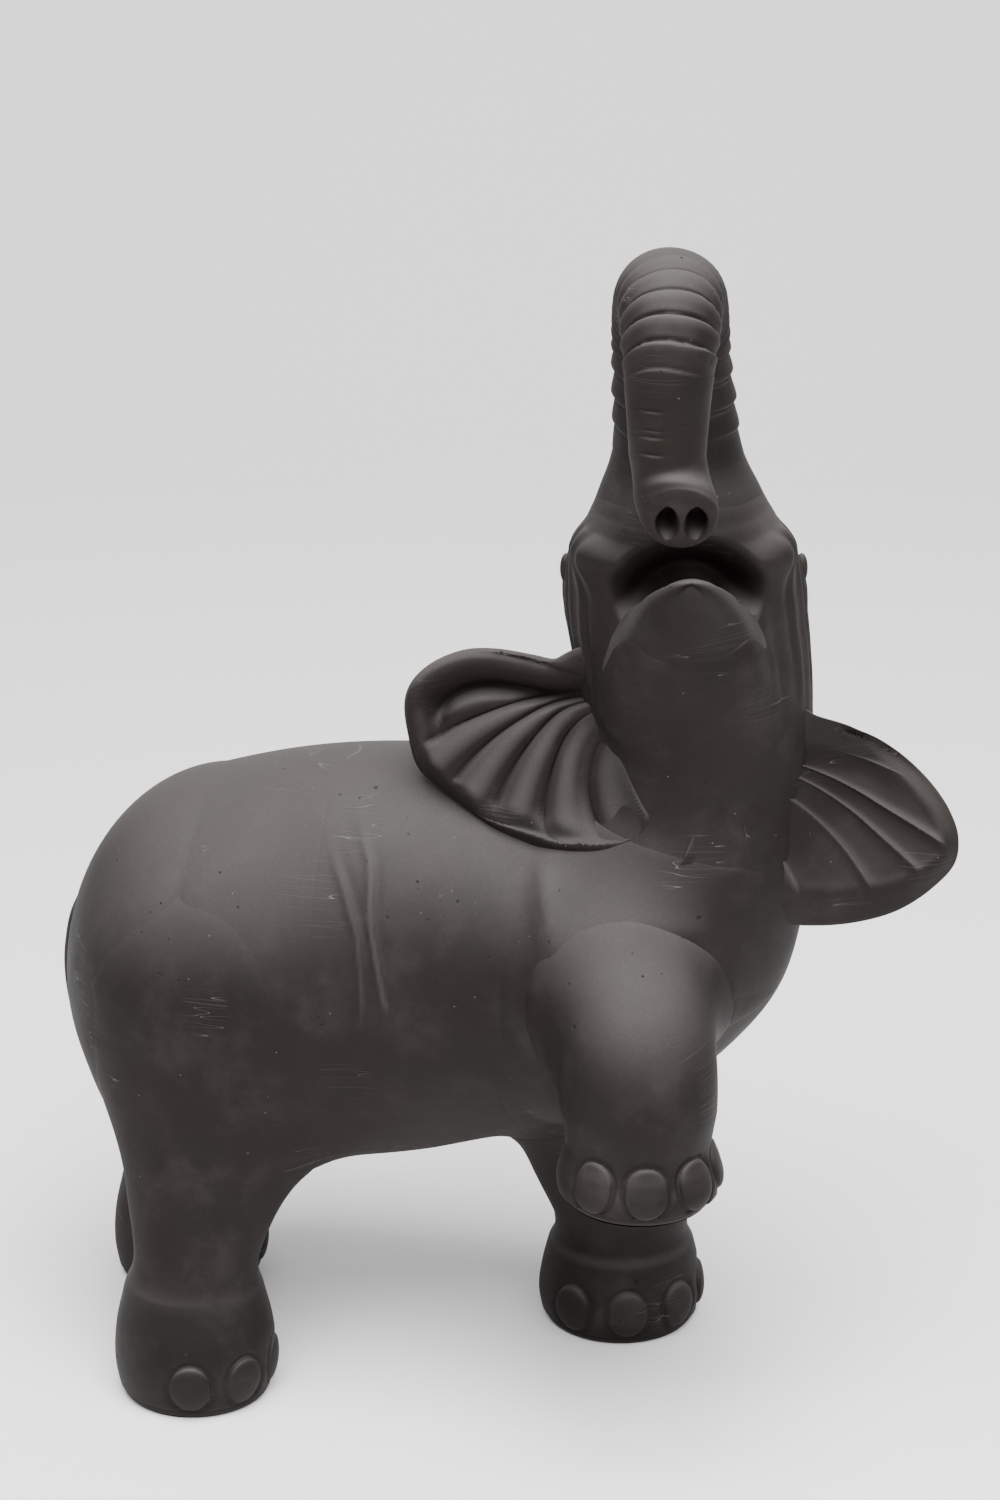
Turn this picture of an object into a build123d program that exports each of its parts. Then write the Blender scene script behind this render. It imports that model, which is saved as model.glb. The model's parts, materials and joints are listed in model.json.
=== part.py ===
from build123d import *
import math
import os

# ---------------------------------------------------------------------------
# Fired-clay elephant, standing on three feet with the right forefoot raised,
# head thrown back and turned to the right, trunk curled over the open mouth.
# Millimetres. +Z is up, the face looks along -Y, the tail lies towards -X.
# The layout is drawn from the middle of the barrel; the last step moves the
# origin to the middle of the footprint.
# ---------------------------------------------------------------------------

# clay
wall = 12.0                     # thickness of the hollow body and neck

round_handle = 0.5523           # handle of a quarter curve that gives an ellipse

# torso: a bent barrel with a domed rump and a domed chest
spine_height = 205.0            # ground to the spine at the hips
spine_climb = 0.105             # rise of the spine per mm towards the chest
hip_x, hip_y = -140.0, -34.0    # where the barrel starts, over the hind legs
spine_heading = -10.0           # degrees, direction of the straight hind part
bend_start = 115.0              # hips to the start of the sideways bend
bend_radius = 240.0             # the forequarters turn to the right on this arc
shoulder_station = 185.0        # hips to the shoulders
rump_dome = 76.0                # length of the domed rump
chest_dome = 98.0               # length of the domed chest
chest_lift = 40.0               # the tip of the chest is this much above the spine
hip_height, hip_width = 194.0, 164.0
barrel_height, barrel_width = 208.0, 184.0
shoulder_height, shoulder_width = 174.0, 166.0
flank_seam = 66.0               # hips to the first joint of the shell
shoulder_seam = 172.0           # hips to the second joint of the shell

# legs: the same foot on all four
foot_flare = 8.0                # the foot is this much wider above the sole
sole_round = 4.0                # radius round the edge of the sole
hind_foot_width, fore_foot_width, raised_foot_width = 80.0, 84.0, 77.0
hind_ankle_width, hind_ankle_height = 61.0, 72.0
hind_knee_width = 96.0
thigh_width, thigh_depth, thigh_height = 122.0, 90.0, 212.0
fore_ankle_width, fore_ankle_height = 69.0, 54.0
fore_knee_width = 94.0
upper_arm_width, upper_arm_depth, upper_arm_height = 104.0, 84.0, 190.0
leg_dome = 56.0                 # rounded top of a leg, inside the body

right_hind_foot = (-152.0, -104.0)
left_hind_foot = (-164.0, 25.0)
left_fore_foot = (62.0, -26.0)
hind_hip_step = (24.0, 18.0)    # foot to hip, forwards and inwards
fore_shoulder_step = (-26.0, -7.0)

# raised foreleg: forwards from the shoulder, then straight down
raised_shoulder = (46.0, -88.0)
raised_foot = (65.0, -182.0)
raised_sole_height = 143.0
raised_arm_rise = 87.0          # sole to the centre line of the level upper arm
raised_arm_height = raised_sole_height + raised_arm_rise
raised_arm_width, raised_arm_depth = 94.0, 100.0
raised_knee_width, raised_knee_radius = 76.0, 42.0
raised_shin_width, raised_shin_height = 68.0, 30.0

# head and neck: an oval tube that leans back over the shoulders
neck_x, neck_width, neck_depth, neck_base = 84.0, 88.0, 114.0, 226.0
nape_x, nape_width, nape_depth = 94.0, 106.0, 110.0
head_x, head_y = 84.0, -106.0   # middle of the crown
crown_width, crown_depth, crown_height = 76.0, 66.0, 450.0
cheek_width, cheek_depth = 114.0, 124.0
cheek_drop = 50.0               # crown down to the widest part of the cheeks
cheek_height = crown_height - cheek_drop
head_tilt = -0.075              # sideways lean, mm per mm of height
neck_set_back = 25.0            # the neck starts this far behind the crown
cheek_set_back = 20.0           # and the nape and the cheeks this far
cavity_drop = 38.0              # the hollow of the neck ends below the mouth
cavity_top = crown_height - cavity_drop

# mouth and lower jaw, placed from the middle of the crown
mouth_width, mouth_height, mouth_depth = 62.0, 34.0, 74.0
mouth_centre = (head_x + 2.0, head_y - 44.0, crown_height - 4.0)
jaw_width, jaw_thickness = 78.0, 54.0
jaw_root = (head_x + 3.0, head_y - 10.0, crown_height - 60.0)
jaw_tip = (head_x + 1.0, head_y - 83.0, crown_height - 16.0)

# trunk: up from the face, over in a half circle, down to a turned-out tip
trunk_neck_width = 62.0         # just above the root
trunk_width = 52.0              # where the arch begins
trunk_mid_width = 45.0          # where the arch ends
trunk_end_width = 34.0
trunk_rise = 80.0               # crown to the centre of the half circle
trunk_arch_height = crown_height + trunk_rise
trunk_arch_radius = 32.0
trunk_hang = 29.0               # straight fall below the arch
trunk_curl_radius = 28.0
trunk_curl = 70.0               # degrees that the tip turns outwards
trunk_drift = -4.0              # sideways drift of the fall against the rise
trunk_swing = 6.0               # sideways return of the tip
nostril_width = 12.0
nostril_gap = 15.0
nostril_depth = 14.0

# ears: ribbed fans, folded forwards along the rim, with their apex inside the head;
# each apex is placed from the middle of the crown
ear_thickness = 9.0
ear_ribs = 5
ear_rib_depth = 3.0
ear_rim_curl = 4.0
ear_brow_curl = 5.0             # the top edge folds forwards this much more
ear_start = 10.0                # the fan starts this far from its apex
right_ear_apex = (head_x - 34.0, head_y, crown_height - 78.0)
right_ear_reach, right_ear_fall, right_ear_brow = 98.0, 86.0, 13.0
right_ear_tilt, right_ear_first, right_ear_sweep = 0.0, 30.0, 128.0
right_ear_turn, right_ear_lean = 14.0, -15.0
left_ear_apex = (head_x + 50.0, head_y + 4.0, crown_height - 98.0)
left_ear_reach, left_ear_fall, left_ear_brow = 105.0, 101.0, 16.0
left_ear_tilt, left_ear_first, left_ear_sweep = -36.0, 31.0, 103.0
left_ear_turn, left_ear_lean = 10.0, -14.0

# small parts
tail_width, tail_tuft_width = 15.0, 18.0
tail_length = 118.0
tail_top = 232.0
tail_set_in = 8.0               # the tail stands this far inside the back of the rump
tail_side = 6.0                 # to the left of the spine
nail_width, nail_height, nail_thickness = 21.0, 24.0, 2.0
nail_centre = 18.0              # above the sole
nail_count = 4
nail_step = 42.0                # degrees between neighbouring nails
eye_length, eye_width, eye_thickness = 15.0, 8.0, 6.0
eye_drop = 26.0                 # crown down to the middle of the eyes
eye_height = crown_height - eye_drop
eye_spread = 106.0              # between the middles of the two eyes
eye_back = 14.0                 # behind the middle of the crown
vent_width = 6.0                # round hole in the wall of the neck
vent_height = 300.0
vent_side = -30.0               # from the middle of the neck
vent_floor = -12.0              # the hole stops this far in front of the crown's middle
hind_nail_angle = -90.0         # direction of the first nail, degrees from +X
fore_nail_angle = -128.0


# ---------------------------------------------------------------------------
# Shared shapes
# ---------------------------------------------------------------------------
def oval(centre, across, along, first_size, second_size, corner=0.0):
    """An oval face at a place: first_size lies along `across`, `along` is its normal.

    It is drawn as four quarter curves that meet at the corner angle and every 90 degrees on.
    """
    plane = Plane(origin=centre, x_dir=across, z_dir=along)

    def at(x, y):
        return plane.from_local_coords((x * first_size / 2, y * second_size / 2, 0))

    quarters = []
    for index in range(4):
        angle = math.radians(corner + 90 * index)
        x0, y0 = math.cos(angle), math.sin(angle)
        x1, y1 = -y0, x0
        handle = at(x0 + round_handle * x1, y0 + round_handle * y1)
        last_handle = at(x1 + round_handle * x0, y1 + round_handle * y0)
        quarters.append(Bezier(at(x0, y0), handle, last_handle, at(x1, y1)))
    return Face(Wire(quarters))


def dome_steps():
    """Steps over a quarter-round dome: how far out, and how much of the full size."""
    for angle in (28.0, 56.0, 82.0):
        yield math.sin(math.radians(angle)), math.cos(math.radians(angle))


def sweep_size(share, start, middle, end):
    """A size that runs smoothly through three values along a share from 0 to 1."""
    first = start * (1 - share) * (1 - 2 * share)
    return first + 4 * middle * share * (1 - share) + end * share * (2 * share - 1)


def between(start, end, share):
    """The point at a share of the way from start to end."""
    return tuple(a + (b - a) * share for a, b in zip(start, end))


# ---------------------------------------------------------------------------
# Torso
# ---------------------------------------------------------------------------
def spine(station):
    """Point and direction of the spine at a distance from the hips."""
    turn = math.degrees(max(station - bend_start, 0.0) / bend_radius)
    heading = math.radians(spine_heading - turn)
    start = math.radians(spine_heading)
    straight = min(station, bend_start)
    x = hip_x + straight * math.cos(start) + bend_radius * (math.sin(start) - math.sin(heading))
    y = hip_y + straight * math.sin(start) - bend_radius * (math.cos(start) - math.cos(heading))
    return (x, y, spine_height + spine_climb * station), (math.cos(heading), math.sin(heading), 0)


def torso_solid(inset):
    """The bent barrel with both domes, drawn in by the inset all round."""
    def ring(station, height, width, lift=0.0):
        (x, y, z), heading = spine(station)
        return oval((x, y, z + lift), (0, 0, 1), heading, height, width, 45)

    def size(share):
        high = sweep_size(share, hip_height, barrel_height, shoulder_height)
        wide = sweep_size(share, hip_width, barrel_width, shoulder_width)
        return high - 2 * inset, wide - 2 * inset

    rings = []
    for share in (0.0, 0.25, 0.5, 0.75, 1.0):
        rings.append(ring(shoulder_station * share, *size(share)))
    for out, part in dome_steps():
        high, wide = size(0.0)
        rings.insert(0, ring(-out * (rump_dome - inset), high * part, wide * part))
        high, wide = size(1.0)
        station = shoulder_station + out * (chest_dome - inset)
        rings.append(ring(station, high * part, wide * part, chest_lift * (1 - part)))
    return loft(rings)


def seam_plane(station):
    """The plane across the torso at a station, facing the head."""
    centre, heading = spine(station)
    return Plane(origin=centre, z_dir=heading)


# ---------------------------------------------------------------------------
# Legs
# ---------------------------------------------------------------------------
def foot_solid(centre, sole_z, width, top, top_width, grow):
    """A foot from its flat sole up to the narrow place above it."""
    widths = (width - foot_flare, width, width - foot_flare / 4, (width + top_width) / 2, top_width)
    rings = []
    for index, size in enumerate(widths):
        place = (centre[0], centre[1], sole_z + top * index / 4)
        rings.append(oval(place, (1, 0, 0), (0, 0, 1), size + grow, size + grow))
    foot = loft(rings)
    sole = foot.faces().sort_by(Axis.Z)[0]
    return fillet(sole.edges(), sole_round)


def standing_leg(foot, foot_width, step, ankle, ankle_width, widths, depths, top, grow):
    """A leg that stands; widths and depths are those at its knee and at its top."""
    rings = []

    def ring(height, width, depth):
        share = (height - ankle) / (top - ankle)
        centre = (foot[0] + step[0] * share, foot[1] + step[1] * share, height)
        rings.append(oval(centre, (1, 0, 0), (0, 0, 1), width + grow, depth + grow))

    for share in (0.0, 0.25, 0.5, 0.75, 1.0):
        width = sweep_size(share, ankle_width, *widths)
        depth = sweep_size(share, ankle_width, *depths)
        ring(ankle + (top - ankle) * share, width, depth)
    for out, part in dome_steps():
        ring(top + out * leg_dome, widths[1] * part, depths[1] * part)
    return foot_solid(foot, 0.0, foot_width, ankle, ankle_width, grow) + loft(rings)


def hind_leg(foot, inwards, grow=0.0):
    step = (hind_hip_step[0], hind_hip_step[1] * inwards)
    widths = (hind_knee_width, thigh_width)
    depths = (hind_knee_width * thigh_depth / thigh_width, thigh_depth)
    ankle = (hind_ankle_height, hind_ankle_width)
    return standing_leg(foot, hind_foot_width, step, *ankle, widths, depths, thigh_height, grow)


def left_fore_leg(grow=0.0):
    widths = (fore_knee_width, upper_arm_width)
    depths = (fore_knee_width, upper_arm_depth)
    ankle = (fore_ankle_height, fore_ankle_width)
    step = fore_shoulder_step
    return standing_leg(
        left_fore_foot, fore_foot_width, step, *ankle, widths, depths, upper_arm_height, grow
    )


def right_fore_leg(grow=0.0):
    """The raised leg: foot and shin hang straight, the arm rounds the knee to the shoulder."""
    lean = raised_foot[0] - raised_shoulder[0]
    reach = raised_shoulder[1] - raised_foot[1]
    shin_z = raised_sole_height + raised_shin_height
    bend_z = raised_arm_height - raised_knee_radius
    rings = []

    def ring(back, height, angle, width, depth):
        turn = math.radians(angle)
        centre = (raised_foot[0] - lean * back / reach, raised_foot[1] + back, height)
        along = (0, math.sin(turn), math.cos(turn))
        rings.append(oval(centre, (1, 0, 0), along, width + grow, depth + grow))

    ring(0, shin_z, 0, raised_shin_width, raised_shin_width)
    for angle in (0.0, 30.0, 60.0, 90.0):
        turn = math.radians(angle)
        back = raised_knee_radius * (1 - math.cos(turn))
        height = bend_z + raised_knee_radius * math.sin(turn)
        ring(back, height, angle, raised_knee_width, raised_knee_width)
    for share in (0.5, 1.0):
        width = raised_knee_width + (raised_arm_width - raised_knee_width) * share
        depth = raised_knee_width + (raised_arm_depth - raised_knee_width) * share
        back = raised_knee_radius + (reach - raised_knee_radius) * share
        ring(back, raised_arm_height, 90, width, depth)
    ankle = (raised_shin_height, raised_shin_width)
    foot = foot_solid(raised_foot, raised_sole_height, raised_foot_width, *ankle, grow)
    return foot + loft(rings)


# ---------------------------------------------------------------------------
# Head, neck and jaw
# ---------------------------------------------------------------------------
def head_x_at(height):
    """The head leans sideways as it rises."""
    return head_x + head_tilt * (height - crown_height)


def head_solid(inset):
    """Neck, cheeks and brow up to the crown that carries the trunk."""
    rings = []

    def ring(height, width, depth, back, x):
        centre = (x, head_y + back, height)
        rings.append(oval(centre, (1, 0, 0), (0, 0, 1), width - 2 * inset, depth - 2 * inset))

    for index in range(6):
        share = index / 5
        height = neck_base + (cheek_height - neck_base) * share
        width = sweep_size(share, neck_width, nape_width, cheek_width)
        depth = sweep_size(share, neck_depth, nape_depth, cheek_depth)
        back = sweep_size(share, neck_set_back, cheek_set_back, cheek_set_back)
        x = sweep_size(share, neck_x, nape_x, head_x_at(cheek_height))
        ring(height, width, depth, back, x)
    for angle in (30.0, 60.0, 90.0):
        turn = math.radians(angle)
        width = crown_width + (cheek_width - crown_width) * math.cos(turn)
        depth = crown_depth + (cheek_depth - crown_depth) * math.cos(turn)
        height = cheek_height + (crown_height - cheek_height) * math.sin(turn)
        ring(height, width, depth, cheek_set_back * math.cos(turn), head_x_at(height))
    return loft(rings)


def mouth_hollow():
    """An egg-shaped hollow between the jaw and the root of the trunk."""
    egg = scale(Sphere(0.5), by=(mouth_width, mouth_depth, mouth_height))
    return Pos(*mouth_centre) * egg


def jaw_solid():
    """A pointed scoop that juts out below the mouth."""
    along = tuple(b - a for a, b in zip(jaw_root, jaw_tip))
    rings = [oval(jaw_root, (1, 0, 0), along, jaw_width, jaw_thickness)]
    for out, part in dome_steps():
        centre = between(jaw_root, jaw_tip, out)
        rings.append(oval(centre, (1, 0, 0), along, jaw_width * part, jaw_thickness * part))
    return loft(rings)


# ---------------------------------------------------------------------------
# Trunk
# ---------------------------------------------------------------------------
def trunk_solid():
    """The whole trunk: riser, half circle, fall and turned-out tip."""
    rings = []
    top_x = head_x_at(trunk_arch_height)
    fall_y = head_y - 2 * trunk_arch_radius
    fall_z = trunk_arch_height - trunk_hang

    def ring(x, y, z, angle, width, depth):
        turn = math.radians(angle)
        along = (0, -math.sin(turn), math.cos(turn))
        rings.append(oval((x, y, z), (1, 0, 0), along, width, depth))

    for share, width in ((0.0, crown_width), (0.28, trunk_neck_width), (0.65, trunk_width + 3)):
        z = crown_height + (trunk_arch_height - crown_height) * share
        ring(head_x_at(z), head_y, z, 0, width, width * crown_depth / crown_width)
    for angle in (0, 45, 90, 135, 180):
        turn = math.radians(angle)
        y = head_y - trunk_arch_radius * (1 - math.cos(turn))
        z = trunk_arch_height + trunk_arch_radius * math.sin(turn)
        width = trunk_width + (trunk_mid_width - trunk_width) * angle / 180
        ring(top_x + trunk_drift * angle / 180, y, z, angle, width, width)
    for share in (0.0, 0.5, 1.0):
        turn = math.radians(trunk_curl * share)
        y = fall_y - trunk_curl_radius * (1 - math.cos(turn))
        z = fall_z - trunk_curl_radius * math.sin(turn)
        x = top_x + trunk_drift + trunk_swing * share
        ring(x, y, z, 180 - trunk_curl * share, trunk_end_width, trunk_end_width)
    return loft(rings)


def trunk_tip_plane():
    """The end face of the trunk, facing out."""
    turn = math.radians(trunk_curl)
    y = head_y - 2 * trunk_arch_radius - trunk_curl_radius * (1 - math.cos(turn))
    z = trunk_arch_height - trunk_hang - trunk_curl_radius * math.sin(turn)
    x = head_x_at(trunk_arch_height) + trunk_drift + trunk_swing
    return Plane(origin=(x, y, z), x_dir=(1, 0, 0), z_dir=(0, -math.sin(turn), -math.cos(turn)))


# ---------------------------------------------------------------------------
# Ears
# ---------------------------------------------------------------------------
def ear_solid(apex, outwards, tilt, first, sweep, reach, fall, brow, turn, lean):
    """A fan of radial slices about the apex, ridge and valley by turns."""
    yaw = math.radians(turn)
    roll = math.radians(lean)
    out = Vector(outwards * math.cos(yaw), math.sin(yaw), 0)
    front = Vector(outwards * math.sin(yaw), -math.cos(yaw), 0)
    up = Vector(0, 0, 1) * math.cos(roll) + front * math.sin(roll)
    front = front * math.cos(roll) - Vector(0, 0, 1) * math.sin(roll)
    half = ear_thickness / 2
    slices = []
    for index in range(2 * ear_ribs + 1):
        above = first - sweep * index / (2 * ear_ribs)
        angle = math.radians(above + tilt)
        ray = out * math.cos(angle) + up * math.sin(angle)
        length = 1 / math.hypot(math.cos(angle) / reach, math.sin(angle) / fall)
        if above > 0:
            rim = brow / math.sin(math.radians(above))
            length = (length**-4 + rim**-4) ** -0.25
        lift = ear_rib_depth * (1 if index % 2 == 0 else -1)
        curl = ear_rim_curl + ear_brow_curl * max(0.0, 1 - index / 3)

        def at(share, forward):
            return Vector(*apex) + ray * (length * share) + front * forward

        root = ear_start / length
        face = Bezier(
            at(root, half), at(0.4, half + lift), at(0.8, half + 1.6 * lift - 2), at(0.93, half + curl)
        )
        rim = Bezier(
            at(0.93, half + curl), at(1.01, half + curl), at(1.02, curl - half), at(0.94, curl - half)
        )
        back = Bezier(
            at(0.94, curl - half), at(0.8, 1.6 * lift - 2 - half), at(0.4, lift - half), at(root, -half)
        )
        slices.append(Face(Wire([face, rim, back, Line(at(root, -half), at(root, half))])))
    return loft(slices)


def right_ear():
    return ear_solid(
        right_ear_apex, -1, right_ear_tilt, right_ear_first, right_ear_sweep,
        right_ear_reach, right_ear_fall, right_ear_brow, right_ear_turn, right_ear_lean,
    )


def left_ear():
    return ear_solid(
        left_ear_apex, 1, left_ear_tilt, left_ear_first, left_ear_sweep,
        left_ear_reach, left_ear_fall, left_ear_brow, left_ear_turn, left_ear_lean,
    )


# ---------------------------------------------------------------------------
# Tail, nails and eyes
# ---------------------------------------------------------------------------
def tail_solid():
    """A tapering tail that hangs from the rump and ends in a tuft."""
    rump_x = hip_x - rump_dome + tail_set_in
    rump_y = hip_y + tail_side
    drops = (
        (0.0, 10.0, 1.0),
        (0.16, -3.0, 1.0),
        (0.38, -5.0, 0.92),
        (0.6, 1.0, 0.84),
        (0.78, 10.0, tail_tuft_width / tail_width),
        (0.92, 19.0, 0.9),
        (1.0, 24.0, 0.4),
    )
    rings = []
    for share, ahead, size in drops:
        centre = (rump_x + ahead, rump_y, tail_top - tail_length * share)
        rings.append(oval(centre, (1, 0, 0), (0, 0, 1), tail_width * size, tail_width * size))
    return loft(rings)


def nails(foot, sole_z, first_angle, leg, grown_leg):
    """Raised oval nails round the front of a foot, following its surface."""
    group = []
    for index in range(nail_count):
        angle = math.radians(first_angle + nail_step * index)
        out = (math.cos(angle), math.sin(angle), 0)
        plane = Plane(origin=(foot[0], foot[1], sole_z + nail_centre), x_dir=(0, 0, 1), z_dir=out)
        post = extrude(plane * Ellipse(nail_height / 2, nail_width / 2), fore_foot_width)
        group.append((grown_leg & post) - leg)
    return Compound(children=group)


def eyes(head):
    """An almond-shaped pad pressed into each side of the head."""
    pads = []
    for side in (-1, 1):
        centre = (head_x_at(eye_height) + side * eye_spread / 2, head_y + eye_back, eye_height)
        pad = scale(Sphere(0.5), by=(eye_thickness, eye_width, eye_length))
        pads.append(Pos(*centre) * pad - head)
    return Compound(children=pads)


# ---------------------------------------------------------------------------
# Assembly
# ---------------------------------------------------------------------------
def build_parts():
    """Every piece in its place, each cut to seat on the piece that carries it."""
    parts = {}

    torso = torso_solid(0.0)
    shell = torso - torso_solid(wall)
    flank = seam_plane(flank_seam)
    shoulder = seam_plane(shoulder_seam)
    parts["hindquarters_shell"] = split(shell, bisect_by=flank, keep=Keep.BOTTOM)
    front = split(shell, bisect_by=flank, keep=Keep.TOP)
    parts["barrel_shell"] = split(front, bisect_by=shoulder, keep=Keep.BOTTOM)
    parts["shoulder_shell"] = split(front, bisect_by=shoulder, keep=Keep.TOP)

    raised = right_fore_leg()
    standing = left_fore_leg()
    right_hind = hind_leg(right_hind_foot, 1)
    left_hind = hind_leg(left_hind_foot, -1)
    parts["right_foreleg"] = raised - torso
    parts["left_foreleg"] = standing - torso
    parts["right_hind_leg"] = right_hind - torso
    parts["left_hind_leg"] = left_hind - torso

    head = head_solid(0.0)
    mouth = mouth_hollow()
    vent_place = (head_x_at(vent_height) + vent_side, head_y + vent_floor, vent_height)
    vent = Plane(origin=vent_place, z_dir=(0, -1, 0)) * Cylinder(
        vent_width / 2, neck_depth, align=(Align.CENTER, Align.CENTER, Align.MIN)
    )
    cavity = split(head_solid(wall), bisect_by=Plane(origin=(0, 0, cavity_top)), keep=Keep.BOTTOM)
    parts["head_and_neck"] = head - cavity - torso - raised - mouth - vent
    parts["lower_jaw"] = jaw_solid() - head - mouth

    trunk = trunk_solid()
    arch_foot = Plane(origin=(0, 0, trunk_arch_height))
    below = split(trunk, bisect_by=arch_foot, keep=Keep.BOTTOM)
    fall, rise = below.solids().sort_by(Axis.Y)
    parts["trunk_arch"] = split(trunk, bisect_by=arch_foot, keep=Keep.TOP)
    parts["trunk_riser"] = rise
    nostrils = []
    for side in (-1, 1):
        bore = Cylinder(nostril_width / 2, nostril_depth * 2)
        nostrils.append(trunk_tip_plane() * Pos(side * nostril_gap / 2, 0, 0) * bore)
    parts["trunk_tip"] = fall - nostrils

    parts["right_ear"] = right_ear() - head - torso
    parts["left_ear"] = left_ear() - head - torso
    parts["tail"] = tail_solid() - torso - right_hind - left_hind
    parts["eyes"] = eyes(head)

    grow = 2 * nail_thickness
    parts["right_hind_nails"] = nails(
        right_hind_foot, 0, hind_nail_angle, right_hind, hind_leg(right_hind_foot, 1, grow)
    )
    parts["left_hind_nails"] = nails(
        left_hind_foot, 0, hind_nail_angle, left_hind, hind_leg(left_hind_foot, -1, grow)
    )
    parts["left_fore_nails"] = nails(left_fore_foot, 0, fore_nail_angle, standing, left_fore_leg(grow))
    parts["right_fore_nails"] = nails(
        raised_foot, raised_sole_height, fore_nail_angle, raised, right_fore_leg(grow)
    )
    return parts


def main():
    parts = build_parts()
    box = Compound(list(parts.values())).bounding_box()
    middle = Pos(-box.center().X, -box.center().Y, 0)
    os.makedirs("parts", exist_ok=True)
    for name, piece in parts.items():
        export_step(middle * piece, f"parts/{name}.step")


main()
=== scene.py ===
import json
import math

import bpy
import numpy as np
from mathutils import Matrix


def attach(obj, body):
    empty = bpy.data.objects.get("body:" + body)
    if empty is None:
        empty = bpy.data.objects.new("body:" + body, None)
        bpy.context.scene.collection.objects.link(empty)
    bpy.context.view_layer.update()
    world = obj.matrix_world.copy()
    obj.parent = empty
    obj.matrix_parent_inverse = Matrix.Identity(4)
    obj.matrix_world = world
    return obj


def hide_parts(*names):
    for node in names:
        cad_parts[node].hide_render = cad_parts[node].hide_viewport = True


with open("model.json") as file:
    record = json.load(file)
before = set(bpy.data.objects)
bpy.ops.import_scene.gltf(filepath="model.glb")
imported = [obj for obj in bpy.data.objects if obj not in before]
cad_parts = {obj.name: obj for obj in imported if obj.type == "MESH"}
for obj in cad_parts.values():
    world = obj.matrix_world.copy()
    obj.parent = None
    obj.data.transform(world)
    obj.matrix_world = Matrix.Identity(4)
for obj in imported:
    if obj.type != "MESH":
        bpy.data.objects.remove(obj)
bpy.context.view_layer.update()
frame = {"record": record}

# --- The clay ---
# The whole figure is one low-fired black clay, burnished by hand and never
# glazed: warm dark grey, lighter where it faces up with dust and painted top light,
# browner and darker underneath and in the hollows as painted shade, lighter on high
# places with wear and painted highlight, and with pinholes, grit and hairline scratches.
def add_node(tree, kind, *sockets, **values):
    """A node with its settings. Sockets are filled in order or by name: an output is linked, None is left out."""
    node = tree.nodes.new(kind)
    filled = dict(enumerate(sockets))
    for name, value in values.items():
        if name in node.inputs:
            filled[name] = value
        else:
            setattr(node, name, value)
    for name, value in filled.items():
        if isinstance(value, bpy.types.NodeSocket):
            tree.links.new(value, node.inputs[name])
        elif value is not None:
            node.inputs[name].default_value = value
    return node


def ramp(tree, value, start, end, low=0.0, high=1.0):
    """A smooth change from low to high while the value goes from start to end."""
    limits = {"From Min": start, "From Max": end, "To Min": low, "To Max": high}
    node = add_node(tree, "ShaderNodeMapRange", value, interpolation_type="SMOOTHSTEP", **limits)
    return node.outputs["Result"]


def maths(tree, operation, first, second=None):
    """One step of arithmetic on two values."""
    return add_node(tree, "ShaderNodeMath", first, second, operation=operation).outputs[0]


def new_group(name, **settings):
    """An empty shader node group that takes a place and some settings and puts out a mask."""
    tree = bpy.data.node_groups.new(name, "ShaderNodeTree")
    tree.interface.new_socket("Place", in_out="INPUT", socket_type="NodeSocketVector")
    for label, value in settings.items():
        kind = "NodeSocketVector" if isinstance(value, tuple) else "NodeSocketFloat"
        tree.interface.new_socket(label, in_out="INPUT", socket_type=kind).default_value = value
    tree.interface.new_socket("Mask", in_out="OUTPUT", socket_type="NodeSocketFloat")
    return tree, tree.nodes.new("NodeGroupInput").outputs, tree.nodes.new("NodeGroupOutput").inputs["Mask"]


def pinhole_group():
    """Pits left by burnt-out grit: small cells of a Voronoi field, kept where a cloud allows them."""
    tree, given, mask = new_group("clay_pinholes", Scale=220.0, Size=0.16, Amount=0.5)
    where = given["Place"]
    cells = add_node(tree, "ShaderNodeTexVoronoi", Vector=where, Scale=given["Scale"])
    cloud = add_node(tree, "ShaderNodeTexNoise", Vector=where, Scale=26.0, Detail=3.0)
    own = add_node(tree, "ShaderNodeSeparateColor", cells.outputs["Color"])
    kept = maths(tree, "MULTIPLY", own.outputs["Red"], cloud.outputs["Fac"])
    least = maths(tree, "SUBTRACT", 1.0, given["Amount"])
    chosen = maths(tree, "GREATER_THAN", kept, least)
    round_pit = ramp(tree, cells.outputs["Distance"], 0.0, given["Size"], 1.0, 0.0)
    tree.links.new(maths(tree, "MULTIPLY", round_pit, chosen), mask)
    return tree


def scratch_group():
    """Hairline scratches: thin level lines of a drawn-out noise, broken up by a second cloud."""
    tree, given, mask = new_group("clay_scratches", Turn=(0.0, 0.0, 0.0), Width=0.004)
    where = given["Place"]
    drawn = add_node(
        tree, "ShaderNodeMapping", Vector=where, Rotation=given["Turn"], Scale=(4.0, 4.0, 120.0)
    ).outputs["Vector"]
    lines = add_node(tree, "ShaderNodeTexNoise", Vector=drawn, Scale=2.2, Detail=0.0)
    cloud = add_node(tree, "ShaderNodeTexNoise", Vector=where, Scale=21.0, Detail=1.0)
    away = maths(tree, "SUBTRACT", lines.outputs["Fac"], 0.5)
    away = maths(tree, "ABSOLUTE", away)
    thin = ramp(tree, away, 0.0, given["Width"], 1.0, 0.0)
    here = ramp(tree, cloud.outputs["Fac"], 0.58, 0.68)
    tree.links.new(maths(tree, "MULTIPLY", thin, here), mask)
    return tree


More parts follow.
